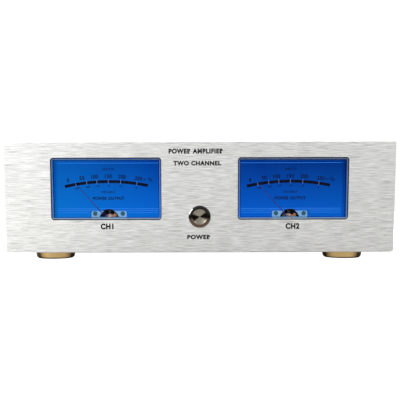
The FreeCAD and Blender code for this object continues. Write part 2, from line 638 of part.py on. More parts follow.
def make_jacks():
    jacks = []
    bushings = []
    for side in (-1, 1):
        x = side * JACK_X
        shell = [(3.1, 258.0), (3.1, 271.2), (6.0, 271.2), (6.0, 273.2), (JACK_R, 273.2), (JACK_R, 282.2),
                 (3.3, 282.2), (3.3, 274.5), (2.0, 274.5), (2.0, 258.0)]
        core = [(0.7, 256.0), (0.7, 262.0), (1.98, 262.0), (1.98, 281.0), (JACK_BORE, 281.0),
                (JACK_BORE, 264.0), (0, 264.0), (0, 256.0)]
        nut = hex_prism(9.0, Vector(x, 262.8, JACK_Z), Vector(0, 1, 0), 2.2)
        nut = nut.cut(rod_y(3.15, x, (260, 270), JACK_Z))
        jacks.extend([revolve_y(shell, x, JACK_Z), revolve_y(core, x, JACK_Z), nut])
        front = [(3.15, 267.5), (4.5, 267.5), (4.5, CASE_DEPTH), (6.6, CASE_DEPTH), (6.6, 271.2),
                 (3.15, 271.2)]
        back = [(3.15, 265.0), (6.6, 265.0), (6.6, REAR_IN), (3.15, REAR_IN)]
        ring = [(2.02, 274.6), (3.25, 274.6), (3.25, 279.0), (2.02, 279.0)]
        bushings.extend([revolve_y(outline, x, JACK_Z) for outline in (front, back, ring)])
    save("rca_jacks", jacks)
    return bushings


def make_posts(bushings):
    studs = []
    for side in (-1, 1):
        for px in POST_X:
            x = side * px
            stud = [(0, 250.0), (2.0, 250.0), (2.0, 256.0), (STUD_R, 256.5), (STUD_R, 274.0), (6.6, 274.0),
                    (6.6, 275.5), (STUD_R, 275.5), (STUD_R, 299.0), (BANANA_R, 299.0), (BANANA_R, 280.0),
                    (0, 280.0)]
            stud = revolve_y(stud, x, POST_Z).cut(rod_z(1.1, x, 277.2, (POST_Z - 5, POST_Z + 5)))
            nut = hex_prism(12.0, Vector(x, 260.5, POST_Z), Vector(0, 1, 0), 3.5)
            studs.extend([stud, nut.cut(rod_y(STUD_R + 0.05, x, (255, 270), POST_Z))])
            front = [(3.95, 267.2), (5.5, 267.2), (5.5, CASE_DEPTH), (9.0, CASE_DEPTH), (9.0, 273.2),
                     (8.2, 274.0), (3.95, 274.0)]
            back = [(3.95, 264.0), (8.5, 264.0), (8.5, REAR_IN), (3.95, REAR_IN)]
            bushings.extend([revolve_y(front, x, POST_Z), revolve_y(back, x, POST_Z)])
    save("post_studs", studs)
    save("insulating_bushings", bushings)
    inner, outer = POST_X
    names = (("left_minus", -outer), ("left_plus", -inner), ("right_plus", inner), ("right_minus", outer))
    bore = STUD_R + RUN_GAP
    for name, x in names:
        collar = [(bore, 275.5), (7.0, 275.5), (7.0, 278.0), (5.4, 278.0), (5.4, 281.0), (bore, 281.0)]
        save("post_collar_" + name, [revolve_y(collar, x, POST_Z)])
        knob = [(5.4 + RUN_GAP, 278.0), (7.6, 278.0), (8.2, 278.6), (8.2, 299.0), (7.2, 300.0),
                (bore, 300.0), (bore, 281.1), (5.4 + RUN_GAP, 281.1)]
        knob = revolve_y(knob, x, POST_Z)
        flutes = []
        for i in range(12):
            angle = math.radians(30 * i)
            flute = (x + 8.7 * math.cos(angle), POST_Z + 8.7 * math.sin(angle))
            flutes.append(rod_y(1.0, flute[0], (280.0, 301.0), flute[1]))
        save("post_knob_" + name, [knob.cut(flutes)])


def wire(radius, points):
    """Round wire along a smooth curve through the points."""
    curve = Part.BSplineCurve()
    curve.interpolate([Vector(*p) for p in points])
    path = Part.Wire(curve.toShape())
    start = curve.value(curve.FirstParameter)
    heading = curve.tangent(curve.FirstParameter)[0]
    section = Part.Wire(Part.Circle(start, heading, radius).toShape())
    return path.makePipeShell([section], True, False)


def make_wiring():
    top = BOARD_TOP + 1.3
    runs = [
        # mains: inlet tabs to the front switch, beside the transformer
        (1.2, [(-7.0, 234.5, 60.5), (-24, 238, 66), (-44, 232, 58), (-57.5, 200, 42), (-58, 120, 36),
               (-52, 66, 34), (-30, 46, 34), (-3.4, 38.6, SWITCH_Z - TERMINAL_GAP)]),
        (1.2, [(7.0, 234.4, 60.5), (3, 230, 71), (-14, 233, 74), (-42, 236, 68), (-60, 200, 48),
               (-60.5, 120, 42), (-54, 62, 42), (-30, 43, 42), (-3.4, 38.6, SWITCH_Z + TERMINAL_GAP)]),
        # transformer secondaries to the supply board
        (1.0, [(-24, 170, 52), (-27, 177, 56), (-31, 184, 44), (-32, 188, top)]),
        (1.0, [(-30, 168, 48), (-34, 176, 52), (-38, 184, 42), (-39, 190, top)]),
        (1.0, [(24, 170, 52), (27, 177, 56), (31, 184, 44), (32, 188, top)]),
    ]
    shared = [
        # supply board to each amplifier board
        (1.0, [(48, 206, top), (54, 206, 31), (62, 205, 31), (70, 204, top)]),
        (1.0, [(48, 200, top), (54, 200, 31), (62, 199, 31), (70, 198, top)]),
        # amplifier board to the speaker posts
        (1.3, [(98, 223, top + 0.3), (96, 233, 36), (93, 242, 52), (92, 248.4, 56)]),
        (1.3, [(114, 223, top + 0.3), (116, 233, 36), (117.5, 242, 52), (118, 248.4, 56)]),
        # input jack to the amplifier board
        (0.9, [(58, 254.8, 62), (59, 244, 58), (63, 226, 40), (70, 210, top)]),
        # amplifier board to the meter
        (0.8, [(86, 79, top), (85, 66, 31), (82, 51, 47), (79, 39.2, 76)]),
    ]
    solids = []
    for radius, points in runs:
        solids.append(wire(radius, points))
    for radius, points in shared:
        strand = wire(radius, points)
        solids.append(strand)
        solids.append(strand.mirror(Vector(0, 0, 0), Vector(1, 0, 0)))
    save("wiring", solids)


os.makedirs("parts", exist_ok=True)
make_front_panel()
make_side_panel(-1, "side_panel_left")
make_side_panel(1, "side_panel_right")
make_bottom_plate()
make_top_cover()
make_rear_panel()
make_brackets()
make_chassis_screws()
make_feet()
make_switch()
make_meter(-METER_X, "meter_left")
make_meter(METER_X, "meter_right")
make_meter_extras()
make_transformer()
make_boards()
make_power_transistors()
make_components()
make_inlet()
make_posts(make_jacks())
make_wiring()
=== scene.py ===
import bmesh
import bpy
import math
from mathutils import Matrix, Quaternion, Vector


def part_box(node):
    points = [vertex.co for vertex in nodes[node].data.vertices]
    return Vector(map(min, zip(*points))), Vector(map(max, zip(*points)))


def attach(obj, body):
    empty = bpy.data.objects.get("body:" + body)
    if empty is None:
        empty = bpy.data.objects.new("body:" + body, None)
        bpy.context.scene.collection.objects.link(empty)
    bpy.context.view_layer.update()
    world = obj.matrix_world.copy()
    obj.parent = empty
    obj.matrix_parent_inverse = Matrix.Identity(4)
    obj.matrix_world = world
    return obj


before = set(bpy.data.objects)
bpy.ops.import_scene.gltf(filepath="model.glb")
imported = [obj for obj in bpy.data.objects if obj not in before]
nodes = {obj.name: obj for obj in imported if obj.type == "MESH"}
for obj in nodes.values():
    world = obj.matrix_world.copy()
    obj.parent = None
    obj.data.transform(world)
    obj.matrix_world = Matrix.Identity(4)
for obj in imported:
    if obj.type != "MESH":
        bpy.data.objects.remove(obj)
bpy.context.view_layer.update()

MM = 0.001
PANEL_LOW, PANEL_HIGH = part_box("front_panel")
FRONT_Y = PANEL_LOW.y
PANEL_Z = PANEL_LOW.z
REAR_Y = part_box("rear_panel")[1].y

# Meter face, measured from the meter's centre line and the panel's lower edge, in millimetres
BAND_RADIUS = 165.0
BAND_Z = 58.75
BAND_HALF = 1.25
BAND_STOPS = (-37.0, -27.5, -18.2, -9.7, 0.0, 10.4, 24.0, 33.6)
WATT_MARKS = (("0", -33.0), ("50", -21.6), ("100", -11.2), ("150", 0.0), ("200", 11.3), ("250", 24.8))
DECIBEL_MARKS = (("-40", -27.2), ("-20", -18.0), ("-10", -9.6), ("-5", 0.0), ("-2", 10.4), ("0", 24.0))
PRINT_THICK = 0.04

# Raised lines of one dial: height above the panel's lower edge and the half width left clear at the middle
DIAL_RIBS = ((74.1, 0.0), (36.0, 0.0), (34.45, 5.2), (32.7, 16.4))
RIB_REACH = 42.5
RIB_HALF = 0.22

# Meter pivot and the bridge's two screws, in metres in the shared frame
PIVOT_Z = 0.0354
BRIDGE_SCREW_X = 0.0117
BRIDGE_SCREW_Z = 0.0409

# Words on one dial: text, cap height, x, height above the panel's lower edge, angle, weight, width factor
# and spacing
DIAL_WORDS = (("300", 2.6, 35.2, 60.2, 42.0, 0.004, 0.9, 1.0), ("W", 2.2, 30.5, 60.3, 12.0, 0.004, 0.8, 1.0),
              ("WATTS", 1.9, 0.0, 68.9, 0.0, 0.015, 1.05, 1.1),
              ("DECIBELS", 1.8, 0.0, 50.0, 0.0, 0.015, 1.05, 1.1),
              ("POWER OUTPUT", 2.7, 0.0, 44.65, 0.0, 0.035, 0.9, 1.12))

# Words on the front panel: text, cap height, x, height above the panel's lower edge, width factor
PANEL_WORDS = (("POWER AMPLIFIER", 4.1, -2.8, 82.6, 0.95), ("TWO CHANNEL", 3.8, -1.9, 72.9, 1.02),
               ("CH1", 4.9, -76.2, 21.55, 0.9), ("CH2", 4.9, 76.4, 21.55, 0.9),
               ("POWER", 3.7, -0.4, 12.65, 1.12))

# Words on the rear panel: text, cap height, x and height in the shared frame, weight, width factor
REAR_WORDS = (("INPUT", 3.0, -58.0, 74.0, 0.015, 1.1), ("INPUT", 3.0, 58.0, 74.0, 0.015, 1.1),
              ("CH1  SPEAKER", 3.0, -105.0, 74.0, 0.015, 1.05),
              ("CH2  SPEAKER", 3.0, 105.0, 74.0, 0.015, 1.05),
              ("+", 3.4, -92.0, 41.5, 0.02, 1.0), ("-", 0.8, -118.0, 41.5, 0.02, 1.0),
              ("+", 3.4, 92.0, 41.5, 0.02, 1.0), ("-", 0.8, 118.0, 41.5, 0.02, 1.0),
              ("AC INPUT", 3.0, 0.0, 83.5, 0.015, 1.05))

# Camera: eye and aim in metres from the middle of the panel's lower edge, roll in degrees, focal length
# in millimetres and lens shift in picture widths
EYE = Vector((-0.0077, -0.5, 0.040))
AIM = Vector((-0.0090, 0.0, -0.009))
ROLL = -0.149
LENS = 54.6
LENS_SHIFT = (0.028, 0.158)

POSTS = ("left_minus", "left_plus", "right_plus", "right_minus")


def linear(red, green, blue):
    """Scene colour from 0-255 display values."""
    values = []
    for value in (red, green, blue):
        c = value / 255
        values.append(c / 12.92 if c <= 0.04045 else ((c + 0.055) / 1.055) ** 2.4)
    return (*values, 1.0)


class Shader:
    """One material's node tree, with short calls for the nodes used here."""

    def __init__(self, name):
        self.mat = bpy.data.materials.new(name)
        self.mat.use_nodes = True
        self.tree = self.mat.node_tree
        self.tree.nodes.clear()
        self.out = self.add("ShaderNodeOutputMaterial")
        self.bsdf = self.add("ShaderNodeBsdfPrincipled")
        self.link(self.bsdf.outputs[0], self.out.inputs[0])
        self.coord = self.add("ShaderNodeTexCoord").outputs["Object"]

    def add(self, kind, **settings):
        node = self.tree.nodes.new(kind)
        for key, value in settings.items():
            setattr(node, key, value)
        return node

    def link(self, source, target):
        self.tree.links.new(source, target)

    def feed(self, target, value):
        """Link a socket, or set a plain value."""
        if isinstance(value, bpy.types.NodeSocket):
            self.link(value, target)
        else:
            target.default_value = value

    def set(self, **values):
        """Feed inputs of the main shader by name, with _ for a space."""
        for key, value in values.items():
            self.feed(self.bsdf.inputs[key.replace("_", " ")], value)

    def math(self, operation, a, b=0.0, clamp=False):
        node = self.add("ShaderNodeMath", operation=operation, use_clamp=clamp)
        self.feed(node.inputs[0], a)
        self.feed(node.inputs[1], b)
        return node.outputs[0]

    def length(self, dx, dz):
        """Distance from two offsets."""
        square = self.math("ADD", self.math("MULTIPLY", dx, dx), self.math("MULTIPLY", dz, dz))
        return self.math("SQRT", square)

    def axes(self):
        node = self.add("ShaderNodeSeparateXYZ")
        self.link(self.coord, node.inputs[0])
        return node.outputs

    def noise(self, scale, detail=4.0, roughness=0.55, shift=0.0):
        mapping = self.add("ShaderNodeMapping")
        mapping.inputs["Scale"].default_value = scale
        mapping.inputs["Location"].default_value = (shift, shift, shift)
        self.link(self.coord, mapping.inputs["Vector"])
        node = self.add("ShaderNodeTexNoise")
        node.inputs["Scale"].default_value = 1.0
        node.inputs["Detail"].default_value = detail
        node.inputs["Roughness"].default_value = roughness
        self.link(mapping.outputs[0], node.inputs["Vector"])
        return node.outputs[0]

    def spread(self, value, low, high, to_low=0.0, to_high=1.0):
        """Value mapped from one range to another, held at the ends."""
        node = self.add("ShaderNodeMapRange")
        self.feed(node.inputs[0], value)
        for i, limit in enumerate((low, high, to_low, to_high)):
            node.inputs[i + 1].default_value = limit
        return node.outputs[0]

    def mix(self, factor, a, b):
        node = self.add("ShaderNodeMix", data_type="RGBA")
        self.feed(node.inputs[0], factor)
        self.feed(node.inputs[6], a)
        self.feed(node.inputs[7], b)
        return node.outputs[2]

    def bump(self, height, strength, distance):
        node = self.add("ShaderNodeBump")
        node.inputs["Strength"].default_value = strength
        node.inputs["Distance"].default_value = distance
        self.link(height, node.inputs["Height"])
        return node.outputs[0]

    def edges(self, radius):
        """1 along sharp edges, 0 on flat areas."""
        bevel = self.add("ShaderNodeBevel", samples=4)
        bevel.inputs["Radius"].default_value = radius
        face = self.add("ShaderNodeNewGeometry")
        dot = self.add("ShaderNodeVectorMath", operation="DOT_PRODUCT")
        self.link(bevel.outputs[0], dot.inputs[0])
        self.link(face.outputs["Normal"], dot.inputs[1])
        return self.spread(dot.outputs["Value"], 0.995, 0.90)

    def island(self):
        return self.add("ShaderNodeNewGeometry").outputs["Random Per Island"]

    def ramp(self, factor, stops, step=False):
        node = self.add("ShaderNodeValToRGB")
        node.color_ramp.interpolation = "CONSTANT" if step else "LINEAR"
        elements = node.color_ramp.elements
        while len(elements) < len(stops):
            elements.new(1.0)
        for element, (place, colour) in zip(elements, stops):
            element.position = place
            element.color = colour
        self.link(factor, node.inputs[0])
        return node.outputs[0]


def scaled(colour, factor):
    return (colour[0] * factor, colour[1] * factor, colour[2] * factor, 1.0)


# ---------------------------------------------------------------- materials

def brushed_metal(name, colour, coarse, fine, rough=0.36, contrast=0.10, depth=0.00004, edge_highlight_radius=0.0004):
    """Metal with long grain; coarse and fine are noise scales per metre on each axis."""
    s = Shader(name)
    wide = s.noise(coarse, 5.0, 0.6)
    thin = s.noise(fine, 3.0, 0.6, 3.7)
    cloud = s.noise((9, 9, 9), 2.0, 0.5, 1.3)
    grain = s.math("ADD", s.math("MULTIPLY", wide, 0.7), s.math("MULTIPLY", thin, 0.3))
    tone = s.mix(s.spread(grain, 0.38, 0.62), scaled(colour, 1 - contrast), scaled(colour, 1 + contrast))
    tone = s.mix(s.spread(cloud, 0.35, 0.7, 0.0, 0.35), tone, scaled(colour, 0.94))
    # Painted highlight: sharp edges are lightened to stand in for light caught along them.
    tone = s.mix(s.math("MULTIPLY", s.edges(edge_highlight_radius), 0.55), tone, scaled(colour, 1.25))
    s.set(Base_Color=tone, Metallic=1.0, Roughness=s.spread(grain, 0.3, 0.7, rough - 0.07, rough + 0.09),
          Normal=s.bump(grain, 0.5, depth))
    return s.mat


def blasted_metal(name, colour, rough=0.42, edge_highlight_radius=0.0004):
    """Fine bead-blasted anodised metal."""
    s = Shader(name)
    fine = s.noise((2600, 2600, 2600), 3.0, 0.65)
    cloud = s.noise((14, 14, 14), 3.0, 0.5, 2.1)
    tone = s.mix(s.spread(fine, 0.35, 0.65), scaled(colour, 0.92), scaled(colour, 1.06))
    tone = s.mix(s.spread(cloud, 0.4, 0.7, 0.0, 0.5), tone, scaled(colour, 0.9))
    # Painted highlight: sharp edges are lightened to stand in for light caught along them.
    tone = s.mix(s.math("MULTIPLY", s.edges(edge_highlight_radius), 0.6), tone, scaled(colour, 1.3))
    s.set(Base_Color=tone, Metallic=1.0, Roughness=s.spread(cloud, 0.3, 0.7, rough - 0.05, rough + 0.08),
          Normal=s.bump(fine, 0.4, 0.00003))
    return s.mat


def polished_button(name, centre, face_edge, face, dark, above, below, glint=False):
    """Polished steel round a Y axis, with its reflections painted into the colour: a painted bow-tie sheen
    on the face with a painted lighter top, a painted dark reflection on the upper rim and a painted warm
    reflection on the lower rim.
    """
    s = Shader(name)
    x, _, z = s.axes()
    dx = s.math("SUBTRACT", x, centre.x)
    dz = s.math("SUBTRACT", z, centre.z)
    radius = s.length(dx, dz)
    angle = s.math("SUBTRACT", s.math("ARCTAN2", dz, dx), 0.14)
    fan = s.math("ABSOLUTE", s.math("SINE", angle))
    ring = s.add("ShaderNodeTexNoise", noise_dimensions="1D")
    ring.inputs["Scale"].default_value = 5000
    s.link(radius, ring.inputs["W"])
    wobble = s.noise((420, 420, 420), 2.0, 0.5)
    fan = s.spread(s.math("ADD", fan, s.math("MULTIPLY", wobble, 0.12)), 0.42, 0.74)
    # Painted light: the upper part of the face is painted lighter.
    upper = s.mix(s.spread(dz, -0.001, 0.002), face, scaled(face, 1.5))
    sheen = s.mix(fan, dark, upper)
    height = s.math("DIVIDE", dz, radius)
    rim = s.mix(s.spread(height, -0.45, 0.0), below, above)
    rim = s.mix(s.spread(s.math("ABSOLUTE", height), 0.0, 0.35), dark, rim)
    tone = s.mix(s.spread(radius, face_edge, face_edge + 0.00015), sheen, rim)
    tone = s.mix(s.spread(ring.outputs[0], 0.35, 0.65, 0.0, 0.25), tone, dark)
    # Painted highlight: a white glint crescent on the outer edge at the upper left.
    if glint:
        lean = s.math("SUBTRACT", s.math("MULTIPLY", dz, 0.5), s.math("MULTIPLY", dx, 0.87))
        lean = s.math("DIVIDE", lean, radius)
        place = s.math("MULTIPLY", s.spread(lean, 0.955, 0.975), s.spread(radius, 0.0082, 0.00835))
        tone = s.mix(place, tone, (1.6, 1.6, 1.55, 1))
    s.set(Base_Color=tone, Metallic=1.0, Roughness=s.spread(ring.outputs[0], 0.2, 0.8, 0.28, 0.4),
          Normal=s.bump(ring.outputs[0], 0.3, 0.00001))
    return s.mat


def bridge_enamel(name, centre):
    """Pale-blue enamel with a painted glow, with dark screws and a polished jewel setting picked out by
    place.
    """
    s = Shader(name)
    x, _, z = s.axes()
    fine = s.noise((900, 900, 900), 3.0, 0.6)

    def disc(across, up, radius):
        dx = s.math("SUBTRACT", s.math("ABSOLUTE", s.math("SUBTRACT", x, centre.x)), across)
        dz = s.math("SUBTRACT", z, up)
        return s.spread(s.length(dx, dz), radius, radius - 0.0001)

    screw = disc(BRIDGE_SCREW_X, BRIDGE_SCREW_Z, 0.00195)
    jewel = disc(0.0, PIVOT_Z, 0.00255)
    metal = s.math("MAXIMUM", screw, jewel)
    tone = s.mix(s.spread(fine, 0.35, 0.7), linear(150, 200, 236), linear(128, 184, 226))
    tone = s.mix(screw, tone, linear(46, 92, 104))
    tone = s.mix(jewel, tone, linear(226, 190, 176))
    # Painted light: the whole bridge glows faintly in its own colour.
    s.set(Base_Color=tone, Metallic=s.math("MULTIPLY", metal, 0.8),
          Roughness=s.spread(fine, 0.3, 0.7, 0.28, 0.4), Emission_Color=tone, Emission_Strength=0.35,
          Normal=s.bump(fine, 0.2, 0.00002))
    return s.mat


def iron_core(name, centre):
    """Dark magnet block with a painted bright glint, which also glows, on the core in its gap."""
    s = Shader(name)
    x, _, z = s.axes()
    dx = s.math("SUBTRACT", x, centre.x)
    dz = s.math("SUBTRACT", z, PIVOT_Z)
    radius = s.length(dx, dz)
    core = s.spread(radius, 0.0052, 0.0049)
    fine = s.noise((1500, 1500, 1500), 3.0, 0.65)
    patch = s.noise((450, 450, 450), 2.0, 0.5, 3.0)
    tone = s.mix(s.spread(fine, 0.35, 0.65), linear(52, 48, 50), linear(74, 68, 66))
    # Painted highlight: a blotchy pale glint on the core, also given a glow.
    bright = s.mix(s.spread(patch, 0.42, 0.58), linear(120, 100, 96), linear(226, 192, 178))
    s.set(Base_Color=s.mix(core, tone, bright), Metallic=0.7, Roughness=s.spread(fine, 0.3, 0.7, 0.35, 0.5),
          Emission_Color=bright, Emission_Strength=s.math("MULTIPLY", core, 0.25),
          Normal=s.bump(fine, 0.4, 0.00003))
    return s.mat


def gold_foot(name, colour, dark):
    """Turned, gold anodised foot with painted shade that darkens it towards its outline and a painted glow
    over the whole foot.
    """
    s = Shader(name)
    z = s.axes()[2]
    ring = s.add("ShaderNodeTexNoise", noise_dimensions="1D")
    ring.inputs["Scale"].default_value = 2600
    ring.inputs["Detail"].default_value = 3.0
    s.link(z, ring.inputs["W"])
    cloud = s.noise((70, 70, 70), 2.0, 0.5, 0.4)
    view = s.add("ShaderNodeLayerWeight")
    view.inputs["Blend"].default_value = 0.5
    tone = s.mix(s.spread(ring.outputs[0], 0.35, 0.65), scaled(colour, 0.82), scaled(colour, 1.1))
    tone = s.mix(s.spread(cloud, 0.4, 0.7, 0.0, 0.3), tone, scaled(colour, 0.85))
    # Painted shade: darker where the surface turns away from view.
    tone = s.mix(s.spread(view.outputs["Facing"], 0.13, 0.45), tone, dark)
    # Painted light: the whole foot glows in its own tone.
    s.set(Base_Color=tone, Metallic=1.0, Roughness=s.spread(ring.outputs[0], 0.2, 0.8, 0.24, 0.4),
          Emission_Color=tone, Emission_Strength=0.42, Normal=s.bump(ring.outputs[0], 0.35, 0.00002))
    return s.mat


def lit_ink(name, colour, level=1.0):
    """Printed or moulded line on the back-lit dial."""
    s = Shader(name)
    cover = s.noise((700, 700, 700), 3.0, 0.6)
    tone = s.mix(s.spread(cover, 0.35, 0.75), colour, scaled(colour, 0.85))
    s.set(Base_Color=scaled(colour, 0.2), Roughness=0.5, Emission_Color=tone, Emission_Strength=level,
          Normal=s.bump(cover, 0.3, 0.00002))
    return s.mat


def moulded_plastic(name, colour, rough=0.45, grain=1800, depth=0.00004, edge_highlight_radius=0.0003):
    s = Shader(name)
    fine = s.noise((grain, grain, grain), 3.0, 0.6)
    cloud = s.noise((40, 40, 40), 3.0, 0.55, 5.2)
    tone = s.mix(s.spread(cloud, 0.35, 0.7), colour, scaled(colour, 0.8))
    # Painted highlight: sharp edges are lightened to stand in for light caught along them.
    tone = s.mix(s.math("MULTIPLY", s.edges(edge_highlight_radius), 0.35), tone,
                 (colour[0] + 0.06, colour[1] + 0.06, colour[2] + 0.06, 1.0))
    s.set(Base_Color=tone, Roughness=s.spread(fine, 0.3, 0.7, rough - 0.08, rough + 0.1),
          Normal=s.bump(fine, 0.35, depth))
    return s.mat


def rubber(name):
    s = Shader(name)
    fine = s.noise((1400, 1400, 1400), 4.0, 0.7)
    dust = s.noise((90, 90, 90), 3.0, 0.6, 7.0)
    tone = s.mix(s.spread(dust, 0.5, 0.8, 0.0, 0.5), (0.012, 0.012, 0.013, 1), (0.045, 0.044, 0.042, 1))
    s.set(Base_Color=tone, Roughness=s.spread(fine, 0.3, 0.7, 0.62, 0.85), Normal=s.bump(fine, 0.5, 0.00008))
    return s.mat


def ink(name, colour, rough=0.5):
    """Screen-printed ink: slightly uneven cover and edge."""
    s = Shader(name)
    cover = s.noise((900, 900, 900), 3.0, 0.6)
    s.set(Base_Color=s.mix(s.spread(cover, 0.35, 0.75), colour, scaled(colour, 1.6)),
          Roughness=s.spread(cover, 0.3, 0.7, rough - 0.1, rough + 0.15), Normal=s.bump(cover, 0.3, 0.00002))
    s.bsdf.inputs["Specular IOR Level"].default_value = 0.12
    return s.mat


def dial_blue(name, centre, corners):
    """Back-lit printed dial: four corner colours blended over the plate, with faint vertical sheen."""
    s = Shader(name)
    x, _, z = s.axes()
    u = s.spread(x, centre.x - 0.042, centre.x + 0.042)
    v = s.spread(z, centre.z - 0.022, centre.z + 0.022)
    lower = s.mix(u, corners[2], corners[3])
    upper = s.mix(u, corners[0], corners[1])
    tone = s.mix(v, lower, upper)
    fine = s.noise((500, 500, 900), 3.0, 0.6)
    broad = s.noise((45, 45, 25), 2.0, 0.5, 2.0)
    tone = s.mix(s.spread(broad, 0.3, 0.7, 0.0, 0.12), tone, scaled(corners[3], 1.15))
    tone = s.mix(s.spread(fine, 0.3, 0.7, 0.0, 0.05), tone, scaled(corners[0], 0.7))
    s.set(Base_Color=s.mix(0.85, tone, (0, 0, 0, 1)), Roughness=s.spread(fine, 0.3, 0.7, 0.4, 0.55),
          Emission_Color=tone, Emission_Strength=1.0, Normal=s.bump(fine, 0.15, 0.00002))
    s.bsdf.inputs["Specular IOR Level"].default_value = 0.0
    return s.mat


def clear_cover(name, centre):
    """Clear acrylic box: see-through with reflections, a painted highlight glowing along the rim where the
    side walls end, brighter at the bottom, and a darker tinted line just inside it.
    """
    s = Shader(name)
    x, y, z = s.axes()
    dx = s.math("SUBTRACT", s.math("ABSOLUTE", s.math("SUBTRACT", x, centre.x)), 0.0447)
    dz = s.math("SUBTRACT", s.math("ABSOLUTE", s.math("SUBTRACT", z, centre.z)), 0.0247)
    inset = s.math("MAXIMUM", dx, dz)
    rim = s.math("MULTIPLY", s.spread(inset, -0.00115, -0.0009), s.spread(inset, -0.0001, -0.0003))
    line = s.math("MULTIPLY", s.spread(inset, -0.0019, -0.0016), s.spread(inset, -0.0009, -0.00115))
    face = s.add("ShaderNodeNewGeometry")
    normal = s.add("ShaderNodeSeparateXYZ")
    s.link(face.outputs["Normal"], normal.inputs[0])
    ahead = s.spread(s.math("ABSOLUTE", normal.outputs[1]), 0.7, 0.9)
    shallow = s.spread(y, FRONT_Y + 0.002, FRONT_Y + 0.003, 1.0, 0.0)
    scuff = s.noise((300, 300, 300), 4.0, 0.6)
    fresnel = s.add("ShaderNodeFresnel")
    fresnel.inputs["IOR"].default_value = 1.45
    clear = s.add("ShaderNodeBsdfTransparent")
    tint = s.mix(ahead, (0.80, 0.88, 0.95, 1), (0.985, 0.99, 1.0, 1))
    s.link(s.mix(s.math("MULTIPLY", line, s.math("MULTIPLY", ahead, shallow)), tint, (0.35, 0.42, 0.5, 1)),
           clear.inputs[0])
    gloss = s.add("ShaderNodeBsdfGlossy")
    gloss.inputs["Color"].default_value = (0.9, 0.95, 1.0, 1)
    s.link(s.spread(scuff, 0.3, 0.7, 0.02, 0.07), gloss.inputs["Roughness"])
    glass = s.add("ShaderNodeMixShader")
    s.link(s.spread(fresnel.outputs[0], 0.04, 1.0, 0.0, 0.8), glass.inputs[0])
    s.link(clear.outputs[0], glass.inputs[1])
    s.link(gloss.outputs[0], glass.inputs[2])
    s.set(Base_Color=(0.16, 0.22, 0.28, 1), Roughness=0.3, Emission_Color=(0.17, 0.25, 0.34, 1),
          Emission_Strength=0.8)
    lit = s.add("ShaderNodeMixShader")
    # Painted highlight: the rim glows more strongly along the bottom edge.
    level = s.spread(z, centre.z - 0.0235, centre.z - 0.0225, 0.75, 0.35)
    front_rim = s.math("MULTIPLY", rim, ahead)
    s.link(s.math("MULTIPLY", front_rim, s.math("MULTIPLY", shallow, level)), lit.inputs[0])
    s.link(glass.outputs[0], lit.inputs[1])
    s.link(s.bsdf.outputs[0], lit.inputs[2])
    s.link(lit.outputs[0], s.out.inputs[0])
    return s.mat


def circuit_board(name):
    """Green solder mask with copper tracks under it and pale pads."""
    s = Shader(name)
    cells = s.add("ShaderNodeTexVoronoi", feature="DISTANCE_TO_EDGE", distance="MANHATTAN")
    cells.inputs["Scale"].default_value = 170
    s.link(s.coord, cells.inputs["Vector"])
    track = s.spread(cells.outputs["Distance"], 0.06, 0.10)
    fine = s.noise((1500, 1500, 1500), 3.0, 0.6)
    tone = s.mix(track, (0.018, 0.16, 0.06, 1), (0.006, 0.075, 0.03, 1))
    dots = s.add("ShaderNodeTexVoronoi")
    dots.inputs["Scale"].default_value = 240
    s.link(s.coord, dots.inputs["Vector"])
    pad = s.spread(dots.outputs["Distance"], 0.16, 0.12)
    tone = s.mix(pad, tone, (0.62, 0.60, 0.55, 1))
    s.set(Base_Color=tone, Roughness=s.spread(fine, 0.3, 0.7, 0.28, 0.42),
          Metallic=s.math("MULTIPLY", pad, 0.8), Normal=s.bump(track, 0.3, 0.00003))
    return s.mat


def by_island(name, stops, rough=0.4, grain=900):
    """Each separate solid of a node gets one of several colours."""
    s = Shader(name)
    fine = s.noise((grain, grain, grain), 3.0, 0.6)
    tone = s.ramp(s.island(), stops, step=True)
    s.set(Base_Color=s.mix(s.spread(fine, 0.35, 0.75, 0.0, 0.3), tone, (0.02, 0.02, 0.02, 1)),
          Roughness=s.spread(fine, 0.3, 0.7, rough - 0.08, rough + 0.12), Normal=s.bump(fine, 0.3, 0.00004))
    return s.mat


def wound_tape(name, centre):
    """Polyester tape wrapped round a ring: radial laps with a slight sheen."""
    s = Shader(name)
    x, y, z = s.axes()
    angle = s.math("ARCTAN2", s.math("SUBTRACT", y, centre.y), s.math("SUBTRACT", x, centre.x))
    lean = s.math("ADD", s.math("MULTIPLY", angle, 14.0), s.math("MULTIPLY", z, 60.0))
    lap = s.math("FRACT", lean)
    fine = s.noise((700, 700, 700), 3.0, 0.6)
    edge = s.spread(lap, 0.0, 0.14)
    tone = s.mix(edge, (0.30, 0.22, 0.05, 1), (0.78, 0.62, 0.20, 1))
    tone = s.mix(s.spread(fine, 0.4, 0.7, 0.0, 0.3), tone, (0.5, 0.34, 0.1, 1))
    s.set(Base_Color=tone, Roughness=s.spread(fine, 0.3, 0.7, 0.22, 0.4), Normal=s.bump(lap, 0.5, 0.0003))
    return s.mat


def capacitor_sleeve(name, top_z):
    """Dark shrink sleeve with a pale stripe, and a bare aluminium top."""
    s = Shader(name)
    x, _, z = s.axes()
    fine = s.noise((800, 800, 800), 3.0, 0.6)
    top = s.spread(z, top_z - 0.0006, top_z - 0.0004)
    stripe = s.spread(s.math("SINE", s.math("MULTIPLY", x, 420.0)), 0.93, 0.96)
    tone = s.mix(stripe, (0.012, 0.018, 0.06, 1), (0.5, 0.5, 0.52, 1))
    tone = s.mix(top, tone, (0.75, 0.75, 0.76, 1))
    s.set(Base_Color=tone, Metallic=top, Roughness=s.spread(fine, 0.3, 0.7, 0.22, 0.38),
          Normal=s.bump(fine, 0.2, 0.00003))
    return s.mat


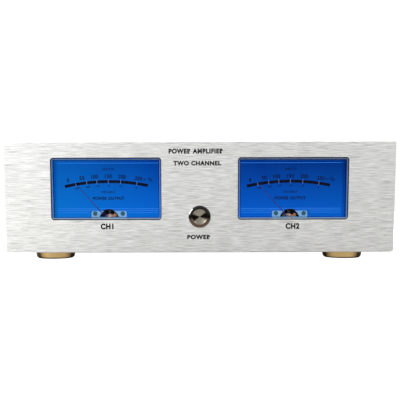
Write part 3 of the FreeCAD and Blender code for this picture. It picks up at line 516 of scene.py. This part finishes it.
def glass_fuse(name, centre):
    """Glass tube in the middle, nickel caps at both ends."""
    s = Shader(name)
    x = s.axes()[0]
    cap = s.spread(s.math("ABSOLUTE", s.math("SUBTRACT", x, centre.x)), 0.0048, 0.0050)
    fine = s.noise((900, 900, 900), 3.0, 0.6)
    s.set(Base_Color=s.mix(cap, (0.80, 0.86, 0.84, 1), (0.72, 0.70, 0.66, 1)), Metallic=cap,
          Roughness=s.spread(fine, 0.3, 0.7, 0.08, 0.2), Normal=s.bump(fine, 0.15, 0.00002),
          Transmission_Weight=s.math("SUBTRACT", 0.85, s.math("MULTIPLY", cap, 0.85)))
    return s.mat


def copper_coil(name):
    """Enamelled copper turns wound along the frame."""
    s = Shader(name)
    turns = s.noise((6000, 900, 6000), 2.0, 0.5)
    tone = s.mix(s.spread(turns, 0.35, 0.65), (0.30, 0.08, 0.03, 1), (0.92, 0.45, 0.22, 1))
    s.set(Base_Color=tone, Metallic=0.85, Roughness=0.3, Normal=s.bump(turns, 0.5, 0.00005))
    return s.mat


def paint(material, *names):
    """Give CAD nodes a material in every slot."""
    for name in names:
        data = nodes[name].data
        if not data.materials:
            data.materials.append(material)
        for slot in nodes[name].material_slots:
            slot.material = material


# ---------------------------------------------------------------- geometry

def finish_piece(name, bm, material, body):
    """Turn a bmesh into a piece that rides on a body."""
    bmesh.ops.recalc_face_normals(bm, faces=bm.faces)
    mesh = bpy.data.meshes.new(name)
    bm.to_mesh(mesh)
    bm.free()
    mesh.materials.append(material)
    piece = bpy.data.objects.new(name, mesh)
    bpy.context.scene.collection.objects.link(piece)
    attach(piece, body)
    return piece


def add_block(bm, low, high):
    """Closed box between two corners."""
    made = bmesh.ops.create_cube(bm, size=1.0)
    size = Vector(high) - Vector(low)
    middle = (Vector(high) + Vector(low)) / 2
    bmesh.ops.scale(bm, vec=size, verts=made["verts"])
    bmesh.ops.translate(bm, vec=middle, verts=made["verts"])
    return made["verts"]


def add_text(bm, text, height, place, angle=0.0, weight=0.0, stretch=1.0, facing=-1, thick=PRINT_THICK,
             spacing=1.0):
    """Printed lettering of one cap height, centred at place and facing -Y (or +Y for the rear)."""
    curve = bpy.data.curves.new("letters", "FONT")
    curve.body = text
    curve.align_x = "CENTER"
    curve.offset = weight
    curve.space_character = spacing
    curve.extrude = 0.001
    holder = bpy.data.objects.new("letters", curve)
    bpy.context.scene.collection.objects.link(holder)
    bpy.context.view_layer.update()
    graph = bpy.context.evaluated_depsgraph_get()
    mesh = bpy.data.meshes.new_from_object(holder.evaluated_get(graph))
    xs = [v.co.x for v in mesh.vertices]
    ys = [v.co.y for v in mesh.vertices]
    middle = Vector(((min(xs) + max(xs)) / 2, (min(ys) + max(ys)) / 2, 0))
    size = height * MM / (max(ys) - min(ys))
    turn = Matrix.Rotation(math.radians(90), 4, "X")
    if facing > 0:
        turn = Matrix.Rotation(math.radians(180), 4, "Z") @ turn
    lean = Matrix.Rotation(math.radians(angle), 4, "Y")
    shape = Matrix.Diagonal((size * stretch, size, thick * MM / 0.002, 1.0))
    mesh.transform(Matrix.Translation(place) @ lean @ turn @ shape @ Matrix.Translation(-middle))
    bm.from_mesh(mesh)
    bpy.data.objects.remove(holder)
    bpy.data.curves.remove(curve)
    bpy.data.meshes.remove(mesh)


def add_arc(bm, cx, y, start, end, radius, centre_z, half, thick):
    """Flat curved bar between two x offsets, centred on a circle of the given radius (millimetres)."""
    steps = 10
    rows = []
    for i in range(steps + 1):
        offset = start + (end - start) * i / steps
        angle = math.asin(offset / radius)
        row = []
        for r in (radius - half, radius + half):
            for depth in (y, y - thick * MM):
                row.append(bm.verts.new((cx + r * MM * math.sin(angle), depth,
                                         centre_z + r * MM * math.cos(angle))))
        rows.append(row)
    for a, b in zip(rows, rows[1:]):
        for i, j in ((0, 1), (1, 3), (3, 2), (2, 0)):
            bm.faces.new((a[i], a[j], b[j], b[i]))
    for row in (rows[0], rows[-1]):
        bm.faces.new((row[0], row[1], row[3], row[2]))


def rounded_loop(bm, centre, size, radius, y, segments=8):
    """Vertices round a rounded rectangle in the XZ plane."""
    loop = []
    for quarter, (sx, sz) in enumerate(((1, 1), (-1, 1), (-1, -1), (1, -1))):
        cx = centre.x + sx * (size[0] / 2 - radius) * MM
        cz = centre.z + sz * (size[1] / 2 - radius) * MM
        for i in range(segments + 1):
            angle = math.radians(90) * (quarter + i / segments)
            x = cx + radius * MM * math.cos(angle)
            z = cz + radius * MM * math.sin(angle)
            loop.append(bm.verts.new((x, y, z)))
    return loop


def bridge_loops(bm, loops, closed=True):
    """Faces between successive loops of equal length."""
    pairs = list(zip(loops, loops[1:]))
    if closed:
        pairs.append((loops[-1], loops[0]))
    for a, b in pairs:
        for i in range(len(a)):
            j = (i + 1) % len(a)
            bm.faces.new((a[i], a[j], b[j], b[i]))


def add_gap_shade(side):
    """Dark piece of painted shade that fills the gap between the window edge and the clear cover, where
    shadow falls.
    """
    bm = bmesh.new()
    centre = meter_centre(side)
    profile = ((90.9, 2.5, 0.06), (90.1, 2.2, 0.0), (89.5, 2.0, 0.25), (89.4, 1.9, 1.2), (90.0, 2.1, 1.2),
               (90.9, 2.5, 0.5))
    loops = []
    for width, radius, depth in profile:
        loops.append(rounded_loop(bm, centre, (width, width - 40.0), radius, FRONT_Y + (depth + 0.05) * MM))
    bridge_loops(bm, loops)
    finish_piece("meter_" + side + "_gap_shade", bm, MATERIALS["rubber"], "chassis")


def middle(name):
    low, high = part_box(name)
    return (low + high) / 2


def meter_centre(side):
    return middle("meter_" + side + "_lens")


def add_marks(bm, marks, cx, y, centre_z, reach, height, weight, stretch):
    """Numbers along an arc, each leaning with it."""
    for text, offset in marks:
        angle = math.asin(offset / BAND_RADIUS)
        x = cx + reach * MM * math.sin(angle)
        z = centre_z + reach * MM * math.cos(angle)
        add_text(bm, text, height, Vector((x, y, z)), math.degrees(angle), weight, stretch, spacing=1.1)


def add_scale(side):
    """Band, numbers and words printed on one dial."""
    low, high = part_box("meter_" + side + "_dial")
    cx = (low.x + high.x) / 2
    y = low.y
    bottom = PANEL_Z
    centre_z = bottom + (BAND_Z - BAND_RADIUS) * MM
    bm = bmesh.new()
    for start, end in zip(BAND_STOPS, BAND_STOPS[1:]):
        add_arc(bm, cx, y, start + 0.28, end - 0.28, BAND_RADIUS, centre_z, BAND_HALF, PRINT_THICK)
    front = y - 0.02 * MM
    add_marks(bm, WATT_MARKS, cx, front, centre_z, BAND_RADIUS + 4.4, 3.2, 0.03, 0.95)
    add_marks(bm, DECIBEL_MARKS, cx, front, centre_z, BAND_RADIUS - 3.5, 1.8, 0.02, 1.1)
    for text, height, x, z, angle, weight, stretch, spacing in DIAL_WORDS:
        add_text(bm, text, height, Vector((cx + x * MM, front, bottom + z * MM)), angle, weight, stretch,
                 spacing=spacing)
    finish_piece("meter_" + side + "_scale", bm, MATERIALS["dial_ink"], "chassis")
    bm = bmesh.new()
    for offset in BAND_STOPS[1:-1]:
        add_arc(bm, cx, y, offset - 0.14, offset + 0.14, BAND_RADIUS, centre_z, BAND_HALF + 0.5, PRINT_THICK)
    finish_piece("meter_" + side + "_ticks", bm, MATERIALS["dial_tick"], "chassis")
    bm = bmesh.new()
    for height, clear in DIAL_RIBS:
        spans = ((-RIB_REACH, -clear), (clear, RIB_REACH)) if clear else ((-RIB_REACH, RIB_REACH),)
        for start, end in spans:
            add_block(bm, (cx + start * MM, y - 0.3 * MM, bottom + (height - RIB_HALF) * MM),
                      (cx + end * MM, y, bottom + (height + RIB_HALF) * MM))
    finish_piece("meter_" + side + "_dial_ribs", bm, MATERIALS["dial_rib"], "chassis")


def add_panel_lettering():
    """Generic printed words on the front panel."""
    bm = bmesh.new()
    y = FRONT_Y + 0.01 * MM
    for text, height, x, z, stretch in PANEL_WORDS:
        add_text(bm, text, height, Vector((x * MM, y, PANEL_Z + z * MM)), 0.0, 0.056, stretch, spacing=1.14)
    finish_piece("panel_lettering", bm, MATERIALS["panel_ink"], "chassis")


def add_rear_lettering():
    """Generic printed words and signs on the rear panel."""
    bm = bmesh.new()
    for text, height, x, z, weight, stretch in REAR_WORDS:
        add_text(bm, text, height, Vector((x * MM, REAR_Y, z * MM)), 0.0, weight, stretch, 1)
    finish_piece("rear_lettering", bm, MATERIALS["panel_ink"], "chassis")


# ---------------------------------------------------------------- stage

def add_camera():
    """Low eye, just left of centre, looking slightly down; the lens is shifted to frame the panel."""
    data = bpy.data.cameras.new("camera")
    data.lens = LENS
    data.sensor_width = 36.0
    data.shift_x, data.shift_y = LENS_SHIFT
    camera = bpy.data.objects.new("camera", data)
    bpy.context.scene.collection.objects.link(camera)
    roll = Quaternion((0, 0, 1), math.radians(ROLL))
    camera.location = Vector((0, FRONT_Y, PANEL_Z)) + EYE
    camera.rotation_euler = ((AIM - EYE).to_track_quat("-Z", "Y") @ roll).to_euler()
    data.clip_start = 0.01
    bpy.context.scene.camera = camera


def add_area(name, place, target, size, power, colour=(1, 1, 1)):
    data = bpy.data.lights.new(name, "AREA")
    data.shape = "RECTANGLE"
    data.size, data.size_y = size
    data.energy = power
    data.color = colour
    lamp = bpy.data.objects.new(name, data)
    bpy.context.scene.collection.objects.link(lamp)
    lamp.location = place
    lamp.rotation_euler = (Vector(target) - Vector(place)).to_track_quat("-Z", "Y").to_euler()
    lamp.visible_camera = False


def add_world():
    """White to the camera; a soft studio, brighter at the left, for light and reflections."""
    world = bpy.data.worlds.new("studio")
    bpy.context.scene.world = world
    world.use_nodes = True
    tree = world.node_tree
    tree.nodes.clear()
    out = tree.nodes.new("ShaderNodeOutputWorld")
    coord = tree.nodes.new("ShaderNodeTexCoord")
    split = tree.nodes.new("ShaderNodeSeparateXYZ")
    tree.links.new(coord.outputs["Generated"], split.inputs[0])
    ramp = tree.nodes.new("ShaderNodeValToRGB")
    spread = tree.nodes.new("ShaderNodeMapRange")
    spread.inputs[1].default_value = -1.0
    spread.inputs[2].default_value = 1.0
    tree.links.new(split.outputs[0], spread.inputs[0])
    tree.links.new(spread.outputs[0], ramp.inputs[0])
    stops = ((0.0, 0.99), (0.32, 0.99), (0.40, 0.53), (0.54, 0.54), (0.62, 0.52), (1.0, 0.54))
    elements = ramp.color_ramp.elements
    while len(elements) < len(stops):
        elements.new(1.0)
    for element, (place, level) in zip(elements, stops):
        element.position = place
        element.color = (level, level, level, 1)
    studio = tree.nodes.new("ShaderNodeBackground")
    tree.links.new(ramp.outputs[0], studio.inputs[0])
    studio.inputs[1].default_value = 1.48
    white = tree.nodes.new("ShaderNodeBackground")
    white.inputs[0].default_value = (1, 1, 1, 1)
    white.inputs[1].default_value = 1.05
    path = tree.nodes.new("ShaderNodeLightPath")
    mix = tree.nodes.new("ShaderNodeMixShader")
    tree.links.new(path.outputs["Is Camera Ray"], mix.inputs[0])
    tree.links.new(studio.outputs[0], mix.inputs[1])
    tree.links.new(white.outputs[0], mix.inputs[2])
    tree.links.new(mix.outputs[0], out.inputs[0])


def add_floor():
    bm = bmesh.new()
    corners = [bm.verts.new((x, y, 0)) for x, y in ((-3, -3), (3, -3), (3, 3), (-3, 3))]
    bm.faces.new(corners)
    mesh = bpy.data.meshes.new("floor")
    bm.to_mesh(mesh)
    bm.free()
    s = Shader("floor_white")
    speckle = s.noise((300, 300, 300), 2.0, 0.5)
    seen = s.add("ShaderNodeLightPath").outputs["Is Camera Ray"]
    x = s.axes()[0]
    # Painted light for reflections only: the floor seen in reflections is lighter at the left and darker to
    # the right.
    across = s.spread(x, -0.19, -0.07)
    dim = s.mix(across, (0.68, 0.68, 0.66, 1), (0.45, 0.445, 0.43, 1))
    pale = s.mix(speckle, (0.86, 0.86, 0.86, 1), (0.9, 0.9, 0.9, 1))
    s.set(Base_Color=s.mix(seen, dim, pale), Roughness=0.85, Emission_Color=(1, 1, 1, 1),
          Emission_Strength=s.math("MULTIPLY", seen, 1.05))
    mesh.materials.append(s.mat)
    floor = bpy.data.objects.new("floor", mesh)
    bpy.context.scene.collection.objects.link(floor)


# ---------------------------------------------------------------- build

SILVER = linear(232, 232, 230)
CHASSIS = linear(205, 206, 208)
GOLD = linear(224, 186, 122)
PLATED = linear(240, 205, 120)

MATERIALS = {
    "rubber": rubber("rubber"),
    "panel": brushed_metal("panel_brushed", SILVER, (75, 75, 3800), (160, 160, 7600), 0.36, 0.46),
    "chassis": blasted_metal("chassis_blasted", CHASSIS),
    "sheet": brushed_metal("sheet_brushed", CHASSIS, (1500, 30, 60), (5200, 60, 200), 0.34, 0.07),
    "zinc": blasted_metal("zinc", linear(190, 190, 188), 0.32),
    "black_steel": blasted_metal("black_steel", linear(40, 40, 42), 0.4),
    "foot": gold_foot("foot_gold", linear(250, 214, 146), linear(46, 34, 20)),
    "plated": blasted_metal("gold_plate", PLATED, 0.2),
    "brass": blasted_metal("brass", linear(205, 170, 95), 0.35),
    "flange": polished_button("switch_flange", middle("switch_body"), 0.0, linear(60, 56, 54),
                              linear(22, 19, 16), linear(62, 59, 60), linear(128, 108, 94), True),
    "cap": polished_button("switch_cap", middle("switch_cap"), 0.0061, linear(150, 144, 132),
                           linear(22, 18, 13), linear(48, 44, 38), linear(176, 148, 130)),
    "black": moulded_plastic("black_plastic", (0.018, 0.018, 0.019, 1)),
    "knob_black": moulded_plastic("knob_black", (0.016, 0.016, 0.017, 1), 0.24, 900),
    "knob_red": moulded_plastic("knob_red", (0.42, 0.012, 0.012, 1), 0.24, 900),
    "dial_ink": ink("dial_ink", (0.002, 0.004, 0.022, 1)),
    "dial_rib": lit_ink("dial_rib", linear(28, 122, 224)),
    "dial_tick": lit_ink("dial_tick", linear(92, 132, 190)),
    "panel_ink": ink("panel_ink", (0.006, 0.006, 0.007, 1)),
    # The needle's dark blue paint is also given a painted glow.
    "needle": lit_ink("needle_paint_and_glow", linear(26, 34, 112), 0.7),
    "coil": copper_coil("coil_copper"),
    "board": circuit_board("circuit_board"),
    "components": by_island("components", ((0.0, (0.02, 0.02, 0.022, 1)), (0.3, (0.012, 0.03, 0.12, 1)),
                                           (0.5, (0.55, 0.52, 0.46, 1)), (0.7, (0.03, 0.03, 0.03, 1)),
                                           (0.85, (0.05, 0.16, 0.35, 1)))),
    "wires": by_island("wires", ((0.0, (0.45, 0.015, 0.01, 1)), (0.25, (0.012, 0.012, 0.013, 1)),
                                 (0.45, (0.55, 0.55, 0.53, 1)), (0.65, (0.02, 0.07, 0.40, 1)),
                                 (0.85, (0.55, 0.40, 0.03, 1))), 0.32),
    "tape": wound_tape("transformer_tape", middle("transformer")),
    "sleeve": capacitor_sleeve("capacitor_sleeve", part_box("psu_capacitors")[1].z),
    "fuse": glass_fuse("fuse_glass", middle("fuse")),
}

paint(MATERIALS["panel"], "front_panel")
paint(MATERIALS["chassis"], "side_panel_left", "side_panel_right")
paint(MATERIALS["sheet"], "top_cover", "bottom_plate", "rear_panel", "front_brackets", "meter_clamps")
paint(MATERIALS["zinc"], "chassis_screws", "foot_screws", "board_screws", "switch_nut", "switch_terminals",
      "transformer_plate", "transformer_bolt")
paint(MATERIALS["black_steel"], "cover_screws")
paint(MATERIALS["foot"], "feet")
paint(MATERIALS["rubber"], "foot_pads", "transformer_pads")
paint(MATERIALS["flange"], "switch_body")
paint(MATERIALS["cap"], "switch_cap")
paint(MATERIALS["black"], "switch_base", "mains_inlet", "fuse_drawer", "insulating_bushings",
      "power_transistors")
paint(MATERIALS["board"], "meter_lamp_boards", "psu_board", "amp_board_left", "amp_board_right")
paint(MATERIALS["components"], "board_components")
paint(MATERIALS["wires"], "wiring")
paint(MATERIALS["tape"], "transformer")
paint(MATERIALS["sleeve"], "psu_capacitors")
paint(MATERIALS["fuse"], "fuse")
paint(MATERIALS["brass"], "standoffs")
paint(MATERIALS["plated"], "rca_jacks", "post_studs")
for post in POSTS:
    paint(MATERIALS["plated"], "post_collar_" + post)
    paint(MATERIALS["knob_red" if "plus" in post else "knob_black"], "post_knob_" + post)

# Corner colours of each dial, top left, top right, bottom left and bottom right: the painted backlight is
# brighter towards the bottom.
DIAL_CORNERS = {
    "left": (linear(9, 90, 174), linear(3, 55, 144), linear(12, 113, 204), linear(9, 100, 204)),
    "right": (linear(6, 48, 128), linear(5, 44, 118), linear(8, 90, 198), linear(9, 91, 192)),
}
for side in ("left", "right"):
    name = "meter_" + side
    paint(dial_blue("dial_" + side, meter_centre(side), DIAL_CORNERS[side]), name + "_dial")
    paint(clear_cover("clear_" + side, meter_centre(side)), name + "_lens")
    paint(MATERIALS["needle"], name + "_needle")
    paint(iron_core("magnet_" + side, meter_centre(side)), name + "_magnet")
    paint(bridge_enamel("bridge_" + side, meter_centre(side)), name + "_bridge")
    paint(MATERIALS["coil"], name + "_coil")
    paint(MATERIALS["black"], name + "_case")
    add_gap_shade(side)
    add_scale(side)

add_panel_lettering()
add_rear_lettering()
add_floor()
add_world()
add_camera()
add_area("key", (-1.1, -1.0, 0.9), (0, 0, 0.05), (1.0, 0.8), 8)
add_area("fill", (1.1, -0.9, 0.9), (0, 0, 0.05), (0.8, 0.8), 3)
add_area("top", (0, 0.3, 1.4), (0, 0, 0), (1.6, 1.2), 5)
add_area("back", (0.3, 1.4, 0.8), (0, 0.1, 0.05), (1.2, 0.8), 4)
bpy.context.scene.view_settings.view_transform = "Standard"
